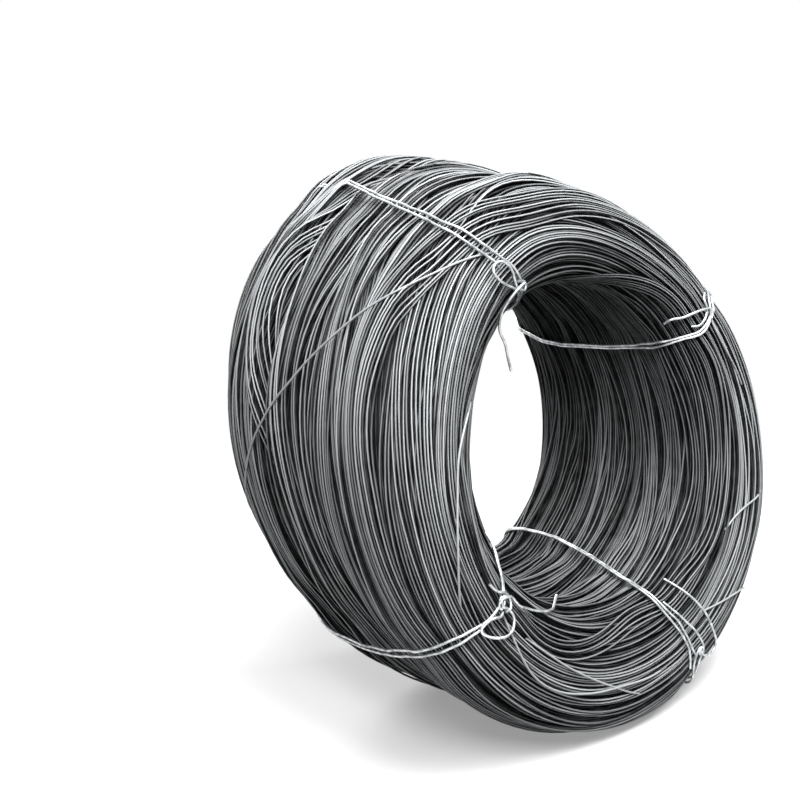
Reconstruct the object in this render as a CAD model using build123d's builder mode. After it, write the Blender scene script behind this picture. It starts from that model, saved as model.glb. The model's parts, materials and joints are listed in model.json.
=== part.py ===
from build123d import *
import os
from math import acos, cos, radians, sin, tan

# A coil of annealed steel wire that stands on its rim, gathered into bunches and held by doubled tie wires.
# The coil's axis lies along Y, its front end with the ties' eyes faces -Y, and its rim touches z = 0.
# The coil leans: it is turned upright, then slumped back along its own axis, so rim and bore stay round.
# Coil, in millimetres and degrees
outer_radius = 395
bore_radius = 230
front_bunch = 175
middle_bunch = 95
rear_bunch = 140
middle_drop = 6
end_rounding = 72
rounding_share = 0.45
valley_depth = 20
valley_shoulder = 32
bore_valley_depth = 14
bore_valley_shoulder = 26
ridge_rows = 3
ridge_relief = 3
crown_angle = 75
slump = 12
bore_trim = 1
settled_depth = 34
settled_angle = 64
settled_radius = 600
settled_from = 90

# Tie wires, in millimetres and degrees
tie_diameter = 3.8
tie_clearance = 0.3
strand_gap = 0.4
tie_pinch = 1.5
eye_width = 14
eye_leg = 18
eye_spread = 12
eye_offset = 12
fold_reach = 12
end_length = 46
end_splay = 18
tie_angles = {"upper_left": 120, "upper_right": 32, "lower_right": -68, "lower_left": -147}

# Sizes that follow from those
coil_length = front_bunch + middle_bunch + rear_bunch
half_length = coil_length / 2
front_valley = front_bunch - half_length
rear_valley = half_length - rear_bunch
wall = outer_radius - bore_radius
crown_radius = bore_radius + wall / 2
corner_radius = min(end_rounding, wall * rounding_share)
ridge_angle = crown_angle / ridge_rows
slump_slope = tan(radians(slump))
middle_radius = outer_radius - middle_drop
rim_valley_radius = outer_radius - valley_depth
wound_radius = bore_radius - bore_trim
bore_valley_radius = bore_radius + bore_valley_depth
strand_pitch = tie_diameter + strand_gap
tie_lift = tie_diameter / 2 + tie_clearance
tie_bore_radius = bore_radius + tie_pinch + tie_diameter / 2
coil_centre = Vector(0, 0, outer_radius)


def half_plane(angle):
    """The plane through the coil's axis at one angle round it: x runs outwards and y along the axis."""
    outwards = (cos(radians(angle)), 0, sin(radians(angle)))
    return Plane(origin=coil_centre, x_dir=outwards, z_dir=Vector(outwards).cross(Vector(0, 1, 0)))


def on_corner(angle, lift, bore_side, rear):
    """A point above an end's rounded corner, at an angle from the straight side towards the crown."""
    reach = corner_radius + lift
    inset = corner_radius - reach * cos(radians(angle))
    depth = half_length - corner_radius + reach * sin(radians(angle))
    return Vector(bore_radius + inset if bore_side else outer_radius - inset, depth if rear else -depth)


def ridged_corner(bore_side, rear):
    """The corner's outline from its straight side to the crown, in ridges where the layers of turns end."""
    points = [on_corner(0, 0, bore_side, rear)]
    for row in range(ridge_rows):
        points.append(on_corner((row + 0.5) * ridge_angle, 0, bore_side, rear))
        points.append(on_corner((row + 1) * ridge_angle, -ridge_relief, bore_side, rear))
    return points + [on_corner(90, 0, bore_side, rear)]


def shoulder(crest, valley, radius):
    """A bunch's shoulder as (radial place, distance from the valley), down from the crest in two flats."""
    turn = acos(1 - abs(crest - valley) / radius)
    inwards = 1 if valley > crest else -1
    knee = crest + inwards * radius * (1 - cos(turn / 2))
    return [(crest, radius * sin(turn)), (knee, radius * (sin(turn) - sin(turn / 2)))]


def bunches(crest, middle_crest, valley, radius):
    """One straight side of the section, front to rear: three bunches with a sharp valley between them."""
    end_shoulder = shoulder(crest, valley, radius)
    middle_shoulder = shoulder(middle_crest, valley, radius)
    points = []
    for place, before, after in (
        (front_valley, end_shoulder, middle_shoulder),
        (rear_valley, middle_shoulder, end_shoulder),
    ):
        points += [(radial, place - away) for radial, away in before]
        points.append((valley, place))
        points += [(radial, place + away) for radial, away in reversed(after)]
    return points


# The coil as it is wound: its section turned about the axis, and flatter where the front bunch has settled
settled_side = half_plane(settled_angle)
settled_end = settled_side.from_local_coords(Vector(outer_radius, settled_from))
settled_front = settled_side.from_local_coords(Vector(outer_radius - settled_depth, corner_radius - half_length))
settled_run = settled_front - settled_end
with BuildPart() as upright_coil:
    with BuildSketch(half_plane(0)):
        with BuildLine():
            Polyline(
                *reversed(ridged_corner(False, False)),
                *bunches(outer_radius, middle_radius, rim_valley_radius, valley_shoulder),
                *ridged_corner(False, True),
                *reversed(ridged_corner(True, True)),
                *bunches(wound_radius, wound_radius, bore_valley_radius, bore_valley_shoulder)[::-1],
                *ridged_corner(True, False),
                close=True,
            )
        make_face()
    revolve(axis=Axis(coil_centre, (0, 1, 0)))
    with BuildSketch(Plane(settled_end, x_dir=settled_side.z_dir.cross(settled_run), z_dir=settled_run)):
        with Locations((-settled_radius, 0)):
            Circle(settled_radius + outer_radius)
            Circle(settled_radius, mode=Mode.SUBTRACT)
    extrude(amount=coil_length, mode=Mode.SUBTRACT)

# The coil as it stands, slumped back, with a slot in the bore where each tie draws the turns apart
slumped = Matrix([[1, 0, 0, 0], [0, 1, slump_slope, -slump_slope * outer_radius], [0, 0, 1, 0]])
slot_floor = tie_bore_radius + tie_lift
slot_half_width = strand_pitch / 2 + tie_lift
with BuildPart() as wire_coil:
    add(upright_coil.part.transform_geometry(slumped))
    with BuildSketch(Plane.XZ):
        with Locations((0, outer_radius)):
            Circle(bore_radius)
    extrude(amount=coil_length, both=True, mode=Mode.SUBTRACT)
    for angle in tie_angles.values():
        with BuildSketch(half_plane(angle)):
            with Locations((slot_floor, 0)):
                Rectangle(slot_floor, 2 * coil_length, align=(Align.MAX, Align.CENTER))
        extrude(amount=slot_half_width, both=True, mode=Mode.SUBTRACT)
wire_coil.part.label = "wire_coil"


def tangent_run(angle, bore_side, rear):
    """The straight run of a taut tie across one ridge of a corner."""
    outwards = on_corner(angle, tie_lift, bore_side, rear) - on_corner(angle, 0, bore_side, rear)
    return Axis(on_corner(angle, tie_lift, bore_side, rear), outwards.rotate(Axis.Z, 90))


def corner_runs(bore_side, rear):
    """A tie's runs over one corner, from the straight side to the crown. It bridges the first ridge."""
    return [tangent_run((row + 0.5) * ridge_angle, bore_side, rear) for row in range(1, ridge_rows)]


# The corners of a tie's route round the section: from the front crown through the bore and back over the rim
front_crown = Axis((0, -half_length - tie_lift), (1, 0, 0))
rear_crown = Axis((0, half_length + tie_lift), (1, 0, 0))
tie_runs = [
    front_crown,
    *reversed(corner_runs(True, False)),
    Axis((tie_bore_radius, 0), (0, 1, 0)),
    *corner_runs(True, True),
    rear_crown,
    *reversed(corner_runs(False, True)),
    Axis((outer_radius + tie_lift, 0), (0, 1, 0)),
    *corner_runs(False, False),
    front_crown,
]
tie_corners = [here.intersect(there) for here, there in zip(tie_runs, tie_runs[1:])]

# The eye lies one strand above the crown, and the ends come up through it and fold back one strand higher.
eye_round = eye_width / 2
eye_centre = crown_radius - eye_offset
fold_radius = eye_centre + fold_reach
crown_level = -half_length - tie_lift
eye_level = crown_level - strand_pitch
fold_level = eye_level - strand_pitch


def strand(side):
    """One strand of a tie, from its free end to the nose of the eye."""
    beside = side * strand_pitch / 2
    fold = [radians(angle) for angle in (180, 135, 90, 45, 0)]
    nose = [radians(angle) for angle in (20, 70)]
    return [
        (fold_radius - end_length, fold_level, side * end_splay),
        *((fold_radius + strand_pitch * sin(a), eye_level + strand_pitch * cos(a), beside) for a in fold),
        *((corner.X, corner.Y, beside) for corner in tie_corners),
        (eye_centre + eye_leg + eye_spread, crown_level, beside),
        (eye_centre + eye_leg, eye_level, side * eye_round),
        *((eye_centre - eye_round * sin(a), eye_level, side * eye_round * cos(a)) for a in nose),
    ]


os.makedirs("parts", exist_ok=True)
export_step(wire_coil.part, "parts/wire_coil.step")
for name, angle in tie_angles.items():
    rise = slump_slope * sin(radians(angle))
    lean = slump_slope * cos(radians(angle))
    with BuildPart() as tie_wire:
        with BuildLine(half_plane(angle)) as centre_line:
            Polyline(*((x, y + rise * x + lean * z, z) for x, y, z in strand(1) + strand(-1)[::-1]))
        with BuildSketch(Plane(origin=centre_line.line @ 0, z_dir=centre_line.line % 0)):
            RegularPolygon(radius=tie_diameter / 2, side_count=6)
        sweep(path=centre_line.line, transition=Transition.RIGHT)
    tie_wire.part.label = f"tie_wire_{name}"
    export_step(tie_wire.part, f"parts/tie_wire_{name}.step")
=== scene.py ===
import json
import math
import bpy
import numpy as np
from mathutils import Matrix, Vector


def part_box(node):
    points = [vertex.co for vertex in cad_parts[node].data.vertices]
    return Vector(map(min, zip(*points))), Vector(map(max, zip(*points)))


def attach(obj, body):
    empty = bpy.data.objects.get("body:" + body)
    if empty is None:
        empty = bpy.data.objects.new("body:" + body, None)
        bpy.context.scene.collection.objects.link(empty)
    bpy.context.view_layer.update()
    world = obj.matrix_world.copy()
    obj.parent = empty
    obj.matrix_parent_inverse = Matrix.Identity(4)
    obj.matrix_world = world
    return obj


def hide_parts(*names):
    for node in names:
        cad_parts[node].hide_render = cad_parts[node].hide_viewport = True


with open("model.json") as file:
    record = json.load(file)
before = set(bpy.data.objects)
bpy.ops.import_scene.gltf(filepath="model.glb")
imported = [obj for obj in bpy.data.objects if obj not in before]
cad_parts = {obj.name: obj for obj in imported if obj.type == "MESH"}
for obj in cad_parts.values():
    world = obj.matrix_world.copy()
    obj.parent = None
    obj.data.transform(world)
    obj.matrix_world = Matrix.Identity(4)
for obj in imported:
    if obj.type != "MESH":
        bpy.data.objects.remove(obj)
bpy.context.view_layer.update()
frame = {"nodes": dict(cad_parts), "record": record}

coilLow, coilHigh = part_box("wire_coil")
boreMount = frame["record"]["mounts"][0]
print("frame loaded:", ", ".join(frame["nodes"]))

# Overall shape of the coil, in metres and degrees. Radii come from the frame.
coil = {
    "length": 0.410,
    "endRounding": 0.072,
    "slump": 12,             # it leans back, turn by turn
    "valleys": (-0.030, 0.065),
    "valleyDepth": 0.021,
    "valleyWidth": 0.015,
    "boreValleys": (-0.030, 0.085),
    "boreValleyDepth": 0.020,
    "boreValleyWidth": 0.018,
    "cover": 0.019,          # depth of modelled turns over the dark inside
    "footing": 0.008,
    # how far the rim has moved out, at which angle, how wide, and over which stretch of y it grows
    "shifts": [
        (-0.034, 64, 34, 0.09, -0.07),    # the front bunch has settled at its upper right
        (0.013, 98, 30, -0.01, 0.09),     # the rear bunch has sprung up at its top
        (-0.010, -150, 26, -0.05, 0.08),  # and is drawn in by the tie at its lower left
        (-0.007, 33, 20, 0.09, -0.07),    # the front bunch is drawn in by the tie at its right
        (0.0135, -27, 27, 0.09, -0.07),   # and sags out below it
    ],
    "cell": 0.0005,          # step along the section at which the surface is kept
    "cornerSteps": 60,
    "sideSteps": 400,
    "slopeReach": 6,         # cells each side that the surface's direction is taken over
}
outerRadius = (coilHigh[0] - coilLow[0]) / 2
centreHeight = (coilHigh[2] + coilLow[2]) / 2
boreRadius = boreMount["dims"]["r_mm"] / 1000
slumpSlope = math.tan(math.radians(coil["slump"]))


def toFrame(radius, y, angle):
    # a place in the turned coil, given by radius, y and angle, slumped into the frame
    outwards = np.clip((radius - boreRadius) / (outerRadius - boreRadius), 0, 1)
    for size, middle, width, growsFrom, growsTo in coil["shifts"]:
        away = (angle - math.radians(middle) + math.pi) % (2 * math.pi) - math.pi
        grown = np.clip((y - growsFrom) / (growsTo - growsFrom), 0, 1)
        radius = radius + size * np.exp(-(away / math.radians(width)) ** 2) * grown * outwards
    height = radius * np.sin(angle)
    level = centreHeight + height
    # its weight flattens the lowest turns
    pressed = coil["footing"] * np.exp(np.minimum(level / coil["footing"] - 1, 0))
    level = np.where(level < coil["footing"], pressed, level)
    return np.stack([radius * np.cos(angle), y + slumpSlope * height, level], axis=-1)


def sectionOutline(inset):
    # the bundle's section, from the middle of the front end over the rim to the rear and back by the bore
    half = coil["length"] / 2 - inset
    outer = outerRadius - inset
    inner = boreRadius + inset
    corner = coil["endRounding"] - inset
    quarter = np.linspace(0, math.pi / 2, coil["cornerSteps"])
    along = np.linspace(-half + corner, half - corner, coil["sideSteps"])
    rim = np.full_like(along, outer)
    bore = np.full_like(along, inner)
    for valley in coil["valleys"]:
        rim -= coil["valleyDepth"] * np.exp(-((along - valley) / coil["valleyWidth"]) ** 2)
    for valley in coil["boreValleys"]:
        bore += coil["boreValleyDepth"] * np.exp(-((along - valley) / coil["boreValleyWidth"]) ** 2)
    middle = (outer + inner) / 2
    radius = np.concatenate([
        [middle],
        outer - corner + corner * np.sin(quarter),
        rim,
        outer - corner + corner * np.cos(quarter),
        [middle],
        inner + corner - corner * np.sin(quarter),
        bore[::-1],
        inner + corner - corner * np.cos(quarter),
        [middle],
    ])
    y = np.concatenate([
        [-half],
        -half + corner - corner * np.cos(quarter),
        along,
        half - corner + corner * np.sin(quarter),
        [half],
        half - corner + corner * np.cos(quarter),
        along[::-1],
        -half + corner - corner * np.sin(quarter),
        [-half],
    ])
    run = np.concatenate([[0], np.cumsum(np.hypot(np.diff(radius), np.diff(y)))])
    count = int(run[-1] / coil["cell"])
    place = np.linspace(0, run[-1], count, endpoint=False)
    radius, y = np.interp(place, run, radius), np.interp(place, run, y)
    near = coil["slopeReach"]
    slopeR = np.roll(radius, -near) - np.roll(radius, near)
    slopeY = np.roll(y, -near) - np.roll(y, near)
    size = np.hypot(slopeR, slopeY)
    return radius, y, slopeY / size, -slopeR / size


sectionR, sectionY, normalR, normalY = sectionOutline(coil["cover"])
cells = len(sectionR)
girth = cells * coil["cell"]

# The turns, laid down run by run in the lowest places, as they were wound
turns = {
    "wire": 0.0031,
    "segments": 120,
    "sides": 4,
    "pitch": (1.08, 1.26),   # in wire diameters
    "runTurns": (5, 14),
    "unevenness": 0.0006,    # of the place that a run is laid in
    "wander": (0.014, 0.015, 0.010, 0.006, 0.003),   # metres, in one to five waves round the coil
    "wanderShare": (0.3, 1.3),
    "leastFree": 0.36,       # how freely the turns wander where they are held most
    "mostFree": 0.9,         # and how much more where they cross most, at the upper left
    "freeAngle": 115,
    "freeWidth": 50,
    "tieHold": 0.4,
    "tieHoldAngle": 12,
    "fan": 0.10,
    "fanWaves": (0.6, 0.5, 0.4),
    "ownWander": (0.0007, 0.0007, 0.0006, 0.0005, 0.0003),
    "looseTurns": 8,
    "looseWander": (0.016, 0.012, 0.006, 0.003),
    "bridging": 2,           # segments over which a turn bridges what it lies on
    "depth": 0.0145,         # the winding stops when the lowest place is this high
    "most": 1000,
    "pinch": 0.20,           # how far a tie presses the turns down, as a share of their depth
    "pinchAngle": 5,
    "seed": 11,
}
tieAngles = {"upper_left": 122, "upper_right": 34, "lower_right": -68, "lower_left": -146}

rng = np.random.default_rng(turns["seed"])
columns = np.arange(turns["segments"])
angles = columns * 2 * math.pi / turns["segments"]
floorHeight = np.full((turns["segments"], cells), turns["wire"] / 2)
reach = int(turns["wire"] / coil["cell"])
humps = [(step, math.sqrt(max(0, turns["wire"] ** 2 - (step * coil["cell"]) ** 2)))
         for step in range(-reach, reach + 1)]


def nearTies(width):
    # 1 at a tie, falling to 0 within about that many degrees of it
    total = np.zeros(turns["segments"])
    for tieAngle in tieAngles.values():
        away = (angles - math.radians(tieAngle) + math.pi) % (2 * math.pi) - math.pi
        total += np.exp(-(away / math.radians(width)) ** 2)
    return total


apart = (angles - math.radians(turns["freeAngle"]) + math.pi) % (2 * math.pi) - math.pi
held = turns["leastFree"] + turns["mostFree"] * np.exp(-(apart / math.radians(turns["freeWidth"])) ** 2)
held = held * (1 - turns["tieHold"] * nearTies(turns["tieHoldAngle"]))
pressedIn = 1 - turns["pinch"] * nearTies(turns["pinchAngle"])


def around(values, width):
    # smooths a ring of values with a bell of that width, in steps along the ring
    steps = np.arange(-3 * int(width), 3 * int(width) + 1)
    bell = np.exp(-0.5 * (steps / width) ** 2)
    bell /= bell.sum()
    return sum(weight * np.roll(values, step) for step, weight in zip(steps, bell))


def swing(sizes):
    # a wander along the turn, made of a few waves round the coil
    total = np.zeros(turns["segments"])
    for wave, size in enumerate(sizes, 1):
        total += size * rng.normal() * np.cos(wave * angles - rng.uniform(0, 2 * math.pi))
    return total


def layTurn(place):
    # lowers one turn onto what lies there, stiff enough to bridge gaps, and raises the surface under it
    cell = np.rint(place / coil["cell"]).astype(int) % cells
    rest = floorHeight[columns, cell]
    stiff = np.max([np.roll(rest, step) for step in (-1, 0, 1)], axis=0)
    height = around(stiff, turns["bridging"])
    for step, hump in humps:
        beside = (cell + step) % cells
        floorHeight[columns, beside] = np.maximum(floorHeight[columns, beside], height + hump)
    return place, height


laid = []
while len(laid) < turns["most"]:
    runTurns = rng.integers(*turns["runTurns"])
    pitch = turns["wire"] * rng.uniform(*turns["pitch"])
    window = np.ones(int(runTurns * pitch / coil["cell"]))
    level = floorHeight.mean(axis=0)
    spread = np.real(np.fft.ifft(np.fft.fft(level) * np.fft.fft(window / len(window), cells)))
    spread = np.roll(spread, -len(window) // 2)
    if spread.min() > turns["depth"]:
        break
    start = np.argmin(spread + rng.normal(0, turns["unevenness"], cells)) * coil["cell"]
    drift = swing(turns["wander"]) * held * rng.uniform(*turns["wanderShare"])
    opening = 1 + turns["fan"] * np.abs(swing(turns["fanWaves"])) * held
    order = np.arange(runTurns) - (runTurns - 1) / 2
    if rng.random() < 0.5:
        order = order[::-1]
    for step in order:
        own = swing(turns["ownWander"])
        laid.append(layTurn(start + drift + own + step * pitch * opening))
for _ in range(turns["looseTurns"]):
    start = rng.uniform(0, girth)
    laid.append(layTurn(start + swing(turns["looseWander"]) * held))
print("turns laid:", len(laid), "surface mean", floorHeight.mean(), "most", floorHeight.max())


def onCoil(place, angle, height):
    # the point over the dark inside at a place along the section, an angle round the coil and a height
    cell = place / coil["cell"] % cells
    low = np.floor(cell).astype(int) % cells
    part = cell - np.floor(cell)
    high = (low + 1) % cells
    baseR = sectionR[low] * (1 - part) + sectionR[high] * part
    baseY = sectionY[low] * (1 - part) + sectionY[high] * part
    outR = normalR[low] * (1 - part) + normalR[high] * part
    outY = normalY[low] * (1 - part) + normalY[high] * part
    return baseR + outR * height, baseY + outY * height, outR, outY


# Painted shade, from how much of a turn shows, in wire diameters: a turn that others cross, or that lies in
# a groove, is painted dark as if in shade
shade = {
    "crossed": 1.3,
    "sunk": 2.7,
    "least": 0.07,
    "around": 0.005,         # metres along the section that a groove is judged over
    "bore": 0.5,             # share of light left by the painted shade in the bore and in the creases between bunches
    "boreEdge": 2,
    "crease": 0.75,
    "softening": 1,          # segments
    "facing": 0.3,           # how squarely a place faces out, or into the bore, to count for a crease
}
# masks for the painted shade: the mean level of the surface round each place, and the creases between
# bunches
bell = np.exp(-0.5 * ((np.arange(cells) - cells // 2) * coil["cell"] / shade["around"]) ** 2)
bell = np.roll(bell / bell.sum(), -(cells // 2))
levelAround = np.real(np.fft.ifft(np.fft.fft(floorHeight, axis=1) * np.fft.fft(bell)))
creaseAt = np.zeros(cells)
for valley in coil["valleys"]:
    creaseAt += np.exp(-((sectionY - valley) / coil["valleyWidth"]) ** 2) * (normalR > shade["facing"])
for valley in coil["boreValleys"]:
    creaseAt += np.exp(-((sectionY - valley) / coil["boreValleyWidth"]) ** 2) * (normalR < -shade["facing"])


def paintedShadeShare(place, height):
    # painted shade: 1 for a turn that lies on top, down to the least for one that is covered or lies deep,
    # and less in the bore and in the creases
    cell = np.rint(place / coil["cell"]).astype(int) % cells
    crossed = (floorHeight[columns, cell] - height) / turns["wire"] - 1
    sunk = (levelAround[columns, cell] - height) / turns["wire"] - 1
    seen = np.clip(1 - crossed / shade["crossed"], 0, 1) * np.clip(1 - sunk / shade["sunk"], 0, 1)
    inBore = np.clip(-normalR[cell] * shade["boreEdge"], 0, 1)
    seen = np.maximum(around(seen, shade["softening"]), shade["least"])
    return seen * (1 - (1 - shade["bore"]) * inBore) * (1 - shade["crease"] * creaseAt[cell])


# Lens-shaped gaps where bunches of turns part: most are scattered, and a few lie as in the photograph
gaps = {
    "count": 60,
    "length": (14, 40),      # degrees round the coil
    "width": (0.002, 0.005),
    "reach": 0.022,
    "steepness": 6,
    "slant": 0.02,
    "seed": 5,
    # place in millimetres, angle and length in degrees, width in metres
    "seen": [(200, 138, 34, 0.006), (198, 166, 30, 0.006), (62, 140, 30, 0.005), (70, 166, 26, 0.005),
             (130, 128, 22, 0.006), (150, 150, 26, 0.005), (262, 132, 24, 0.005), (110, 170, 30, 0.004)],
}
gapRng = np.random.default_rng(gaps["seed"])
openings = [(place / 1000, math.radians(angle), math.radians(length), width, 0.0)
            for place, angle, length, width in gaps["seen"]]
for _ in range(gaps["count"]):
    openings.append((
        gapRng.uniform(0, girth),
        gapRng.uniform(0, 2 * math.pi),
        math.radians(gapRng.uniform(*gaps["length"])),
        gapRng.uniform(*gaps["width"]),
        gapRng.normal(0, gaps["slant"]),
    ))


def parted(place):
    # pushes a turn aside from the gaps that it passes
    moved = place.copy()
    for middle, angle, length, width, slant in openings:
        away = (angles - angle + math.pi) % (2 * math.pi) - math.pi
        opening = width * np.clip(1 - (2 * away / length) ** 2, 0, 1)
        beside = (place - middle - slant * away) / gaps["reach"]
        lap = girth / gaps["reach"]
        beside = (beside + lap / 2) % lap - lap / 2
        moved += opening / 2 * np.tanh(beside * gaps["steepness"]) * np.exp(-np.abs(beside))
    return moved


# Tone of the wire, from 0 for black oxide to 1 for bright steel: it differs at random from turn to turn and
# along each, and the painted shade and painted highlight are multiplied into it
tones = {
    "mean": 0.70,
    "spread": 0.17,
    "along": 0.12,
    "waves": (0.5, 0.5, 0.4, 0.4, 0.3),
    "side": 0.08,            # painted highlight: a turn is painted bright on top and dark at its sides, as the light falls on it
    "sharpness": 1.2,
    "stray": 0.62,
}


def joinTubes(name, paths, radius, sides):
    # one mesh of closed rings, each swept round its path of (place, height, tone)
    rim = np.arange(sides) * 2 * math.pi / sides
    verts, faces, shades = [], [], []
    count = turns["segments"]
    ring = np.arange(count)[:, None] * sides + np.arange(sides)[None, :]
    ahead = np.roll(ring, -1, axis=0)
    quads = np.stack([ring, np.roll(ring, -1, axis=1), np.roll(ahead, -1, axis=1), ahead], axis=-1)
    quads = quads.reshape(-1, 4)
    # painted highlight along the top of each turn, and painted shade at its sides
    paintedHighlight = tones["side"] + (1 - tones["side"]) * np.clip(np.cos(rim), 0, 1) ** tones["sharpness"]
    for index, (place, height, tone) in enumerate(paths):
        centreR, centreY, outR, outY = onCoil(parted(place), angles, height * pressedIn)
        rimR = centreR[:, None] + radius * (np.cos(rim) * outR[:, None] - np.sin(rim) * outY[:, None])
        rimY = centreY[:, None] + radius * (np.cos(rim) * outY[:, None] + np.sin(rim) * outR[:, None])
        verts.append(toFrame(rimR, rimY, np.repeat(angles[:, None], sides, axis=1)).reshape(-1, 3))
        faces.append(quads + index * count * sides)
        # the tone, times the painted shade and the painted highlight, is kept on the mesh
        shades.append(((tone * paintedShadeShare(place, height))[:, None] * paintedHighlight).ravel())
    verts, faces, shades = np.concatenate(verts), np.concatenate(faces), np.concatenate(shades)
    mesh = bpy.data.meshes.new(name)
    mesh.vertices.add(len(verts))
    mesh.vertices.foreach_set("co", verts.ravel())
    mesh.loops.add(faces.size)
    mesh.loops.foreach_set("vertex_index", faces.ravel())
    mesh.polygons.add(len(faces))
    mesh.polygons.foreach_set("loop_start", np.arange(0, faces.size, 4))
    mesh.polygons.foreach_set("use_smooth", np.ones(len(faces), dtype=bool))
    toneData = mesh.attributes.new("tone", "FLOAT", "POINT").data
    toneData.foreach_set("value", shades.astype(np.float32))
    mesh.update(calc_edges=True)
    mesh.validate()
    piece = bpy.data.objects.new(name, mesh)
    bpy.context.collection.objects.link(piece)
    return piece


# Turns of one stretch of the section make one mesh, so that each stays a light piece
paths = []
for place, height in laid:
    tone = rng.normal(tones["mean"], tones["spread"]) + tones["along"] * swing(tones["waves"])
    paths.append((place, height, np.clip(tone, 0, 1)))
paths.sort(key=lambda path: np.mean(path[0]) % girth)
stretches = ("front_turns", "rim_turns", "rear_turns", "inner_turns", "bore_turns")
share = math.ceil(len(paths) / len(stretches))
turnPieces = []
for number, name in enumerate(stretches):
    group = paths[number * share:(number + 1) * share]
    turnPieces.append(joinTubes(name, group, turns["wire"] / 2, turns["sides"]))
    print(name, len(group), "turns,", len(turnPieces[-1].data.polygons) * 2, "triangles")


def tautProfile(column, diameter):
    # where a taut wire of that diameter lies round the section at one angle: on what stands out most
    near = np.array([column - 1, column, column + 1]) % turns["segments"]
    height = np.max(floorHeight[near] * pressedIn[near][:, None], axis=0) + (diameter - turns["wire"]) / 2
    spotR, spotY = sectionR + normalR * height, sectionY + normalY * height
    order = np.lexsort((spotY, spotR))
    touching = []
    for outwards in (order, order[::-1]):
        hull = []
        for index in outwards:
            while len(hull) > 1 and (
                (spotR[hull[-1]] - spotR[hull[-2]]) * (spotY[index] - spotY[hull[-2]])
                - (spotY[hull[-1]] - spotY[hull[-2]]) * (spotR[index] - spotR[hull[-2]])
            ) <= 0:
                hull.pop()
            hull.append(index)
        touching += hull[:-1]
    touching = np.sort(np.array(touching))
    everywhere = np.arange(cells)
    return (np.interp(everywhere, touching, spotR[touching], period=cells),
            np.interp(everywhere, touching, spotY[touching], period=cells))


tautProfiles = {}
bentWires = {
    "step": 0.012,           # metres between the points of a strand
    "roughRadius": 0.3,      # of the coil, for counting those points
    "straySmoothing": 4,
    "sideSteps": 2,
    "curveSteps": 4,
}


def strandPoints(route, diameter, smoothing=0):
    # a strand's points in the frame, from a route of (place in mm, angle in degrees, lift in mm)
    points = []
    for here, there in zip(route, route[1:]):
        alongWay = abs(there[0] - here[0]) / 1000
        aroundWay = abs(there[1] - here[1]) * math.radians(1) * bentWires["roughRadius"]
        count = max(1, round(max(alongWay, aroundWay) / bentWires["step"]))
        points += [[a + (b - a) * i / count for a, b in zip(here, there)] for i in range(count)]
    points.append(route[-1])
    spots = []
    for place, angle, lift in points:
        cell = int(round(place / 1000 / coil["cell"])) % cells
        column = round(angle / 360 * turns["segments"]) % turns["segments"]
        if (column, diameter) not in tautProfiles:
            tautProfiles[column, diameter] = tautProfile(column, diameter)
        tautR, tautY = tautProfiles[column, diameter]
        spotR = tautR[cell] + normalR[cell] * lift / 1000
        spotY = tautY[cell] + normalY[cell] * lift / 1000
        spots.append(toFrame(spotR, spotY, math.radians(angle)))
    spots = np.array(spots)
    for _ in range(smoothing):
        spots[1:-1] = spots[1:-1] / 2 + (spots[:-2] + spots[2:]) / 4
    return spots


def bentWire(name, strands, diameter):
    # one mesh of bent wires, each a smooth curve through its points
    curve = bpy.data.curves.new(name, "CURVE")
    curve.dimensions = "3D"
    curve.bevel_depth = diameter / 2
    curve.bevel_resolution = bentWires["sideSteps"]
    curve.use_fill_caps = True
    curve.resolution_u = bentWires["curveSteps"]
    for spots in strands:
        spline = curve.splines.new("BEZIER")
        spline.bezier_points.add(len(spots) - 1)
        for point, spot in zip(spline.bezier_points, spots):
            point.co = spot
            point.handle_left_type = point.handle_right_type = "AUTO"
    piece = bpy.data.objects.new(name, curve)
    bpy.context.collection.objects.link(piece)
    bpy.ops.object.select_all(action="DESELECT")
    piece.select_set(True)
    bpy.context.view_layer.objects.active = piece
    bpy.ops.object.convert(target="MESH")
    bpy.ops.object.shade_smooth()
    return bpy.context.object


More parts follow.
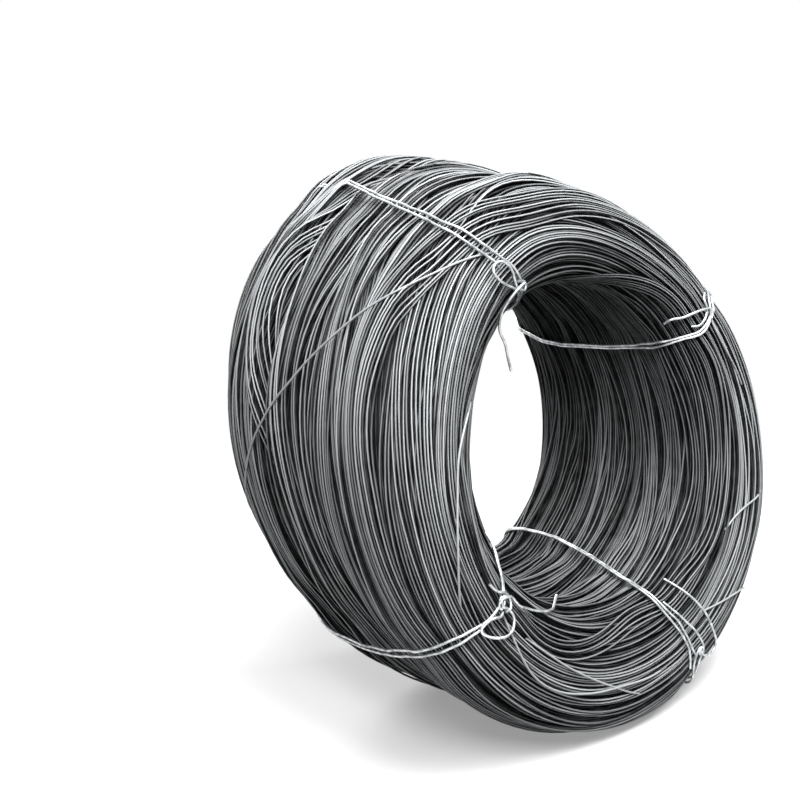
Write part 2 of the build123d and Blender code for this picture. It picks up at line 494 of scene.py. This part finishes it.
# The tie wires. Routes run in millimetres along the section from the front crown, over the rim, in degrees
# round the coil and in millimetres of lift over what they lie on.
wholeWay = girth * 1000
ties = {
    "diameter": 0.0038,
    "tie_wire_upper_left": [
        # over the rim, round the rear and back through the bore to the eye, and round it to the other strand
        [(-40, 116, 1), (-30, 117.5, 1), (-12, 118.2, 0), (3, 119.5, 0), (20, 121, 0), (33, 122.0, 0),
         (47, 122.7, 0), (72, 123.7, 0), (132, 121.8, 0), (227, 118.5, 0), (333, 115, 0),
         (350, 114.8, -5), (372, 114.5, -9), (420, 114, -7), (463, 113.5, 0), (600, 114.5, 0),
         (760, 116, 0), (wholeWay - 60, 116.2, 0), (wholeWay - 46, 117.2, 0), (wholeWay - 34, 119.6, 2),
         (wholeWay - 22, 120.2, 3), (wholeWay - 12, 119.6, 4), (wholeWay - 2, 120.0, 5),
         (wholeWay + 5, 121.4, 5), (wholeWay + 8, 123.0, 5), (wholeWay + 4, 124.6, 4),
         (wholeWay - 5, 124.8, 4), (wholeWay - 16, 124.0, 4), (wholeWay - 28, 121.6, 3),
         (wholeWay - 38, 119.6, 2), (wholeWay - 48, 118.4, 0), (wholeWay - 60, 117.4, 0), (760, 117, 0),
         (600, 115.5, 0), (463, 114.5, 0), (420, 114.8, -7), (372, 115.3, -9), (350, 115.6, -5),
         (333, 115.8, 0), (227, 119.3, 0), (132, 122.9, 0), (72, 125.3, 0), (43, 124.8, 0),
         (29, 123.8, 1), (17, 122.8, 2), (8, 122.2, 3), (0, 122, 1)],
        # the free end folds round the knot
        [(-26, 119.0, 2), (-36, 116.2, 3), (-40, 117.4, 6), (-36, 119.0, 7)],
    ],
    "tie_wire_upper_right": [
        [(16, 33.4, 3), (8, 32.6, 2), (-4, 32, 1), (-18, 31.8, 0), (-30, 32, 0), (-52, 32.7, 0),
         (-80, 33.4, 0), (-140, 30.8, 0), (-200, 28.6, 0), (-320, 26, 0), (-463, 27, 0), (-600, 30, 0),
         (-760, 33, 0), (-wholeWay + 60, 34.5, 0), (-wholeWay + 34, 35.5, 0), (-wholeWay + 20, 34.6, 2),
         (-wholeWay + 13, 33.2, 4), (-wholeWay + 17, 32.2, 3), (-wholeWay + 34, 33.8, 0),
         (-wholeWay + 60, 33.6, 0), (-760, 32, 0), (-600, 29, 0), (-463, 26, 0), (-320, 25, 0),
         (-200, 27.6, 0), (-118, 30.4, 0), (-68, 31.9, 0), (-48, 31.7, 0), (-26, 31, 0), (-12, 31.1, 0),
         (3, 32, 2), (12, 34, 5)],
        [(6, 31.6, 2), (15, 32.8, 4), (12, 34.4, 6), (-2, 36.2, 4), (-24, 38.8, 3), (-38, 40, 3),
         (-50, 41.6, 4), (-60, 41, 2)],
        [(26, 37.6, 1), (14, 37.6, 3), (8, 35.6, 4), (1, 34.2, 3), (-16, 33.5, 2), (-26, 33.9, 2),
         (-33, 34.6, -2)],
    ],
    "tie_wire_lower_right": [
        [(26, -69, 2), (13, -69.6, 1), (-8, -69.9, 0), (-30, -70.6, 0), (-54, -72.0, 0),
         (-84, -71.6, 0), (-134, -68, 0), (-200, -64, 0), (-244, -62, 0), (-298, -60, 0),
         (-332, -60, 0), (-364, -60.4, 0), (-463, -62, 0), (-600, -64, 0), (-760, -68, 0),
         (-wholeWay + 90, -70, 0), (-wholeWay + 50, -69.5, 0), (-wholeWay + 34, -68, 2),
         (-wholeWay + 24, -66.4, 4), (-wholeWay + 18, -66.8, 5), (-wholeWay + 20, -68.4, 4),
         (-wholeWay + 34, -70.4, 1), (-wholeWay + 50, -71.2, 0), (-wholeWay + 90, -71, 0),
         (-760, -69, 0), (-600, -65, 0), (-463, -63, 0), (-364, -61, 0), (-332, -60.6, 0),
         (-298, -60.6, 0), (-244, -62.8, 0), (-200, -64.8, 0), (-134, -68.9, 0), (-84, -72.5, 0),
         (-58, -73.4, 0), (-34, -72.6, 0), (-14, -71.6, 0), (5, -70.9, 0), (20, -71.3, 0),
         (34, -72, -1)],
        [(-54, -70.2, -2), (-34, -68.8, 1), (-8, -66.6, 2), (13, -65.8, 3), (22, -66, 4),
         (27, -67.2, 4), (22, -68.2, 5), (17, -67, 6)],
        [(-68, -62.2, -1), (-50, -61.9, 2), (-34, -61.2, 3), (-12, -60.4, 3), (15, -60.5, 3),
         (36, -60.8, 4), (42, -62.6, 5), (36, -65.0, 6), (26, -67.4, 6), (18, -67.6, 5)],
    ],
    "tie_wire_lower_left": [
        [(-10, -150, 2), (10, -150, 0), (28, -150.2, 0), (50, -150.5, 0), (69, -150.2, 0),
         (122, -147.8, 0), (209, -143.6, 0), (268, -141, 0), (331, -139.4, 0), (463, -138, 0),
         (600, -143, 0), (760, -157, 0), (wholeWay - 150, -161, 0), (wholeWay - 118, -162.4, 0),
         (wholeWay - 100, -162.2, 0), (wholeWay - 84, -161, 0), (wholeWay - 68, -156, 0),
         (wholeWay - 48, -151.8, 0), (wholeWay - 28, -151.2, 1), (wholeWay - 14, -150.6, 3),
         (wholeWay - 10, -149.8, 4), (wholeWay - 14, -149.2, 4), (wholeWay - 28, -150.6, 1),
         (wholeWay - 48, -151.2, 0), (wholeWay - 68, -155.2, 0), (wholeWay - 84, -160, 0),
         (wholeWay - 100, -161.2, 0), (wholeWay - 118, -161.4, 0), (wholeWay - 150, -160, 0),
         (760, -156, 0), (600, -140, 0), (463, -137, 0), (331, -137.4, 0), (268, -139.6, 0),
         (209, -142.3, 0), (122, -146.2, 0), (86, -148, 0), (67, -148.8, 0), (45, -149, 0),
         (29, -149.2, 1), (20, -149.4, 2), (14, -150.1, 4), (4, -149.9, 5), (-4, -148.6, 5),
         (-12, -148.2, 4)],
        [(14, -150.4, 2), (21, -149.2, 4), (19, -147.2, 5), (10, -145, 6), (-2, -143.6, 6),
         (-14, -143.9, 6), (-19, -145.4, 6), (-18, -147.6, 6), (-14, -149.6, 6), (-18, -151, 5),
         (-25, -150.4, 5), (-27, -148.4, 6), (-20, -147.2, 7), (-13, -148, 7)],
        [(-12, -150.6, 4), (-20, -150.8, 6), (-26, -149.6, 7), (-32, -147.6, 6), (-35, -143.2, 4),
         (-46, -136.5, 3), (-58, -128.5, 3), (-70, -122.5, 4), (-80, -119, 9), (-85, -117, 14)],
        [(-14, -156.4, 3), (-18, -153.6, 3), (-25, -151.4, 5), (-28, -149.6, 4)],
    ],
}
# Where the first tie's free end hangs clear of the turns: radius and y in millimetres, and degrees
hangingEnd = [(277, -211, 118.6), (278, -212, 120.6), (276, -209, 123.3), (270.2, -201, 125.8),
              (260.7, -190, 127.9), (247.8, -179, 129.3), (234, -172, 130.6), (214.9, -168, 131.6),
              (198.6, -166, 134.5), (183.4, -164, 137.5)]
hangingSpots = [toFrame(radius / 1000, y / 1000, math.radians(angle))
                for radius, y, angle in hangingEnd]
tiePieces = {}
for name, routes in ties.items():
    if name != "diameter":
        strands = [strandPoints(route, ties["diameter"]) for route in routes]
        if name == "tie_wire_upper_left":
            strands.append(hangingSpots)
        tiePieces[name] = bentWire(name + "_bent", strands, ties["diameter"])
        print(name, len(tiePieces[name].data.polygons) * 2, "triangles")

# The coil's own outer end, laid slantwise over the rim, and a few turns that have sprung loose
strays = {
    "tail": [(10, 119, -6), (20, 122, -1), (27, 124.8, 0), (39, 130.3, 0), (51, 136, 0), (82, 143.8, 0),
             (120, 148.8, 0), (165, 154, 0), (215, 159.6, 0), (248, 164.4, 0), (330, 174.5, 0),
             (389, 185, 0), (430, 194, 0), (455, 202, -4), (465, 207, -9)],
    "flank": [(-54, 156, -5), (-38, 161, 0), (-22, 171, 0), (-16, 179, 0), (-4, 187.2, 0),
              (10, 195.2, 0), (19, 200, 0), (25, 205, -6)],
    "foot": [(-16, -147, -6), (-8, -143.6, 0), (0, -140.5, 0), (13, -134.2, 0), (19, -127.2, 0),
             (18, -121.5, 0), (13, -112.8, 0), (7, -103.2, 0), (4, -96.2, 0), (5, -88.5, 0),
             (8, -80, -6)],
    "footCrossing": [(-16, -136, -6), (-16, -131, 0), (-16, -125.8, 0), (-10, -113.5, 0),
                     (2, -103.2, 0), (13, -97, 0), (24, -91, -6)],
    "right": [(-30, -34, -6), (-20, -26.8, 0), (8, -22.2, 0), (43, -18.8, 0), (70, -14, -6)],
    "rightLower": [(-8, -59.2, -5), (-4, -56.5, 0), (3, -53.8, 1), (18, -49, 1), (30, -46, 1),
                   (46, -43.2, 1)],
    "rightUpper": [(16, 33.5, -5), (5, 31, 0), (-2, 27.5, 1), (0, 25, 1), (2, 22, 1), (1, 18, 1),
                   (8, 15.2, 1), (14, 12.5, 0), (16, 9.2, -5)],
}
strayStrands = [strandPoints(route, turns["wire"], bentWires["straySmoothing"]) for route in strays.values()]
strayPiece = bentWire("loose_turns", strayStrands, turns["wire"])
strayTone = strayPiece.data.attributes.new("tone", "FLOAT", "POINT")
strayTone.data.foreach_set("value", np.full(len(strayPiece.data.vertices), tones["stray"], dtype=np.float32))
print("loose turns", len(strayPiece.data.polygons) * 2, "triangles")


# The dark inside, seen only through the gaps between turns
core = {"around": 96, "across": 120, "sink": 0.001}
bpy.ops.object.select_all(action="DESELECT")
bpy.ops.mesh.primitive_torus_add(major_segments=core["around"], minor_segments=core["across"])
inside = bpy.context.object
inside.name = inside.data.name = "inner_turns_mass"
pick = (np.arange(core["across"]) * cells / core["across"]).astype(int)
coreR = sectionR[pick] - normalR[pick] * core["sink"]
coreY = sectionY[pick] - normalY[pick] * core["sink"]
coreAngles = np.arange(core["around"]) * 2 * math.pi / core["around"]
places = toFrame(coreR[None, :], coreY[None, :], coreAngles[:, None] + 0 * coreR[None, :])
inside.data.vertices.foreach_set("co", places.reshape(-1, 3).ravel())
inside.data.update()
bpy.ops.object.mode_set(mode="EDIT")
bpy.ops.mesh.select_all(action="SELECT")
bpy.ops.mesh.normals_make_consistent(inside=False)
bpy.ops.object.mode_set(mode="OBJECT")
bpy.ops.object.shade_smooth()
print("inside made")


def hexColour(code):
    # sRGB hex to linear
    parts = [int(code[i:i + 2], 16) / 255 for i in (1, 3, 5)]
    return [p / 12.92 if p <= 0.04045 else ((p + 0.055) / 1.055) ** 2.4 for p in parts] + [1]


def addNode(tree, kind, settings=None, values=None, links=None):
    # one node with its settings, fixed inputs and incoming links
    node = tree.nodes.new(kind)
    for name, value in (settings or {}).items():
        setattr(node, name, value)
    for name, value in (values or {}).items():
        node.inputs[name].default_value = value
    for name, socket in (links or {}).items():
        tree.links.new(socket, node.inputs[name])
    return node


def startMaterial(name):
    material = bpy.data.materials.new(name)
    material.use_nodes = True
    material.node_tree.nodes.clear()
    return material, material.node_tree


# Black annealed drawn steel: dark, dull furnace oxide in fine flakes, smoother on the crests; its colour
# runs from dark to light with the tone, which holds the painted shade and painted highlight
annealed = {
    "dark": "#0a0c0d",
    "light": "#c2c5c7",
    "dull": 0.52,            # roughness of the oxide and of the rubbed crests
    "rubbed": 0.34,
    "metallic": 0.15,
    "specular": 0.15,
    "patch": 0.02,           # metres
    "patchDetail": 3,
    "patchShade": 0.16,
    "flake": 0.002,          # real flakes are finer, these are as coarse as they need to be to show
    "flakeDetail": 2,
    "flakeDepth": 0.0002,
    "flakeStrength": 0.3,
}
annealedSteel, tree = startMaterial("black annealed steel wire")
out = addNode(tree, "ShaderNodeOutputMaterial")
toneNode = addNode(tree, "ShaderNodeAttribute", {"attribute_name": "tone"})
coords = addNode(tree, "ShaderNodeTexCoord")
patch = addNode(tree, "ShaderNodeTexNoise",
                values={"Scale": 1 / annealed["patch"], "Detail": annealed["patchDetail"]},
                links={"Vector": coords.outputs["Object"]})
shift = addNode(tree, "ShaderNodeMath", {"operation": "MULTIPLY_ADD"},
                {1: annealed["patchShade"], 2: -annealed["patchShade"] / 2}, {0: patch.outputs["Fac"]})
both = addNode(tree, "ShaderNodeMath", {"operation": "ADD", "use_clamp": True},
               links={0: shift.outputs[0], 1: toneNode.outputs["Fac"]})
# the painted shade and painted highlight in the tone run the colour from dark to light
ramp = addNode(tree, "ShaderNodeValToRGB", links={"Fac": both.outputs[0]})
ramp.color_ramp.elements[0].color = hexColour(annealed["dark"])
ramp.color_ramp.elements[1].color = hexColour(annealed["light"])
rough = addNode(tree, "ShaderNodeMapRange",
                values={"To Min": annealed["dull"], "To Max": annealed["rubbed"]},
                links={"Value": both.outputs[0]})
flakes = addNode(tree, "ShaderNodeTexNoise",
                 values={"Scale": 1 / annealed["flake"], "Detail": annealed["flakeDetail"]},
                 links={"Vector": coords.outputs["Object"]})
bump = addNode(tree, "ShaderNodeBump",
               values={"Strength": annealed["flakeStrength"], "Distance": annealed["flakeDepth"]},
               links={"Height": flakes.outputs["Fac"]})
shader = addNode(tree, "ShaderNodeBsdfPrincipled",
                 values={"Metallic": annealed["metallic"], "Specular IOR Level": annealed["specular"]},
                 links={"Base Color": ramp.outputs["Color"], "Roughness": rough.outputs["Result"],
                        "Normal": bump.outputs["Normal"]})
tree.links.new(shader.outputs["BSDF"], out.inputs["Surface"])

# The same wire deep in the coil, where only a little light reaches: near black, streaked by the turns
shaded = {
    "deep": "#040505",
    "lit": "#1c1e20",
    "streak": 0.004,         # metres
    "streakDetail": 2,
    "metallic": 0.3,
    "roughness": 0.7,
}
insideSteel, tree = startMaterial("annealed wire in shade")
out = addNode(tree, "ShaderNodeOutputMaterial")
coords = addNode(tree, "ShaderNodeTexCoord")
streaks = addNode(tree, "ShaderNodeTexNoise",
                  values={"Scale": 1 / shaded["streak"], "Detail": shaded["streakDetail"]},
                  links={"Vector": coords.outputs["Object"]})
ramp = addNode(tree, "ShaderNodeValToRGB", links={"Fac": streaks.outputs["Fac"]})
ramp.color_ramp.elements[0].color = hexColour(shaded["deep"])
ramp.color_ramp.elements[1].color = hexColour(shaded["lit"])
shader = addNode(tree, "ShaderNodeBsdfPrincipled",
                 values={"Metallic": shaded["metallic"], "Roughness": shaded["roughness"]},
                 links={"Base Color": ramp.outputs["Color"]})
tree.links.new(shader.outputs["BSDF"], out.inputs["Surface"])

# Galvanised tie wire: pale zinc, a little dulled, with faint darker patches
galvanised = {
    "dull": "#8c9092",
    "bright": "#d5d8da",
    "dullRoughness": 0.48,
    "brightRoughness": 0.32,
    "metallic": 0.8,
    "patch": 0.012,          # metres
    "patchDetail": 3,
    "patchEdges": (0.35, 0.65),
}
galvanisedWire, tree = startMaterial("galvanised steel wire")
out = addNode(tree, "ShaderNodeOutputMaterial")
coords = addNode(tree, "ShaderNodeTexCoord")
patch = addNode(tree, "ShaderNodeTexNoise",
                values={"Scale": 1 / galvanised["patch"], "Detail": galvanised["patchDetail"]},
                links={"Vector": coords.outputs["Object"]})
ramp = addNode(tree, "ShaderNodeValToRGB", links={"Fac": patch.outputs["Fac"]})
ramp.color_ramp.elements[0].position, ramp.color_ramp.elements[1].position = galvanised["patchEdges"]
ramp.color_ramp.elements[0].color = hexColour(galvanised["dull"])
ramp.color_ramp.elements[1].color = hexColour(galvanised["bright"])
rough = addNode(tree, "ShaderNodeMapRange",
                values={"From Min": galvanised["patchEdges"][0], "From Max": galvanised["patchEdges"][1],
                        "To Min": galvanised["dullRoughness"], "To Max": galvanised["brightRoughness"]},
                links={"Value": patch.outputs["Fac"]})
shader = addNode(tree, "ShaderNodeBsdfPrincipled", values={"Metallic": galvanised["metallic"]},
                 links={"Base Color": ramp.outputs["Color"], "Roughness": rough.outputs["Result"]})
tree.links.new(shader.outputs["BSDF"], out.inputs["Surface"])

for piece in turnPieces + [strayPiece]:
    piece.data.materials.append(annealedSteel)
for name, piece in tiePieces.items():
    piece.data.materials.append(galvanisedWire)
    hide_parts(name)
    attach(piece, "root")
inside.data.materials.clear()
inside.data.materials.append(insideSteel)
for piece in turnPieces + [strayPiece, inside]:
    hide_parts("wire_coil")
    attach(piece, "root")
print("materials set")

# Floor, backdrop and light
studio = {
    "floor": 40.0,
    "floorColour": "#e6e6e6",
    "bounceColour": "#3a3a3a",
    "floorRoughness": 0.9,
    "shadowReach": (0.8, 2.0),
    "shadowLift": 0.3,
    "ambient": 0.08,
    # place, watts and size of each lamp
    "lamps": {
        "sky_lamp": ((0.1, -1.1, 2.9), 215, 2.4),
        "key_lamp": ((-1.7, -1.6, 2.3), 78, 1.2),
        "back_lamp": ((0.6, 2.4, 1.9), 75, 1.6),
    },
}


def seenDirectly(tree):
    # 1 where the camera, a reflection or a clear piece shows the background, 0 for the light that it gives
    ray = addNode(tree, "ShaderNodeLightPath")
    either = addNode(tree, "ShaderNodeMath", {"operation": "MAXIMUM"},
                     links={0: ray.outputs["Is Camera Ray"], 1: ray.outputs["Is Glossy Ray"]})
    seen = addNode(tree, "ShaderNodeMath", {"operation": "MAXIMUM"},
                   links={0: either.outputs[0], 1: ray.outputs["Is Transmission Ray"]})
    return seen.outputs[0]


bpy.ops.object.select_all(action="DESELECT")
bpy.ops.mesh.primitive_plane_add(size=studio["floor"])
floor = bpy.context.object
floor.name = "floor"
# White paper: it keeps the shadow near the coil and runs out into the white background
paper, tree = startMaterial("white paper floor")
out = addNode(tree, "ShaderNodeOutputMaterial")
coords = addNode(tree, "ShaderNodeTexCoord")
away = addNode(tree, "ShaderNodeVectorMath", {"operation": "LENGTH"}, links={0: coords.outputs["Object"]})
far = addNode(tree, "ShaderNodeMapRange", {"interpolation_type": "SMOOTHSTEP"},
              {"From Min": studio["shadowReach"][0], "From Max": studio["shadowReach"][1],
               "To Min": studio["shadowLift"]}, {"Value": away.outputs["Value"]})
seen = seenDirectly(tree)
white = addNode(tree, "ShaderNodeMath", {"operation": "MULTIPLY"}, links={0: far.outputs[0], 1: seen})
tint = addNode(tree, "ShaderNodeMix", {"data_type": "RGBA"},
               {6: hexColour(studio["bounceColour"]), 7: hexColour(studio["floorColour"])}, {0: seen})
paperShader = addNode(tree, "ShaderNodeBsdfPrincipled", values={"Roughness": studio["floorRoughness"]},
                      links={"Base Color": tint.outputs[2]})
glow = addNode(tree, "ShaderNodeEmission", values={"Color": (1, 1, 1, 1), "Strength": 1.0})
both = addNode(tree, "ShaderNodeMixShader",
               links={0: white.outputs[0], 1: paperShader.outputs[0], 2: glow.outputs[0]})
tree.links.new(both.outputs[0], out.inputs["Surface"])
floor.data.materials.append(paper)

world = bpy.data.worlds.new("studio")
bpy.context.scene.world = world
world.use_nodes = True
tree = world.node_tree
tree.nodes.clear()
out = addNode(tree, "ShaderNodeOutputWorld")
strength = addNode(tree, "ShaderNodeMapRange", values={"To Min": studio["ambient"], "To Max": 1.0},
                   links={"Value": seenDirectly(tree)})
sky = addNode(tree, "ShaderNodeBackground", values={"Color": (1, 1, 1, 1)},
              links={"Strength": strength.outputs[0]})
tree.links.new(sky.outputs[0], out.inputs["Surface"])

for name, (spot, power, size) in studio["lamps"].items():
    bpy.ops.object.light_add(type="AREA", location=spot)
    lamp = bpy.context.object
    lamp.name = name
    lamp.data.energy = power
    lamp.data.size = size
    aim = Vector((0, 0, centreHeight)) - Vector(spot)
    lamp.rotation_euler = aim.to_track_quat("-Z", "Y").to_euler()
print("floor, world and lamps set")

# Camera at the photograph's angle
camera = {
    "azimuth": -44.5,
    "elevation": 12.6,
    "distance": 1.885,
    "focalPixels": 1250,
    "centre": (511, 430),    # pixel where the middle of the coil shows
    "frame": 800,
    "sensor": 36,
    "farthest": 50,
}
az, el = math.radians(camera["azimuth"]), math.radians(camera["elevation"])
back = Vector((math.sin(az) * math.cos(el), -math.cos(az) * math.cos(el), math.sin(el)))
target = Vector((0, 0, centreHeight))
bpy.ops.object.camera_add(location=target + back * camera["distance"])
view = bpy.context.object
view.name = "photo_camera"
view.rotation_euler = back.to_track_quat("Z", "Y").to_euler()
view.data.sensor_width = camera["sensor"]
view.data.lens = camera["focalPixels"] / camera["frame"] * view.data.sensor_width
view.data.shift_x = (camera["frame"] / 2 - camera["centre"][0]) / camera["frame"]
view.data.shift_y = (camera["centre"][1] - camera["frame"] / 2) / camera["frame"]
view.data.clip_end = camera["farthest"]
bpy.context.scene.camera = view
bpy.context.scene.view_settings.view_transform = "Standard"
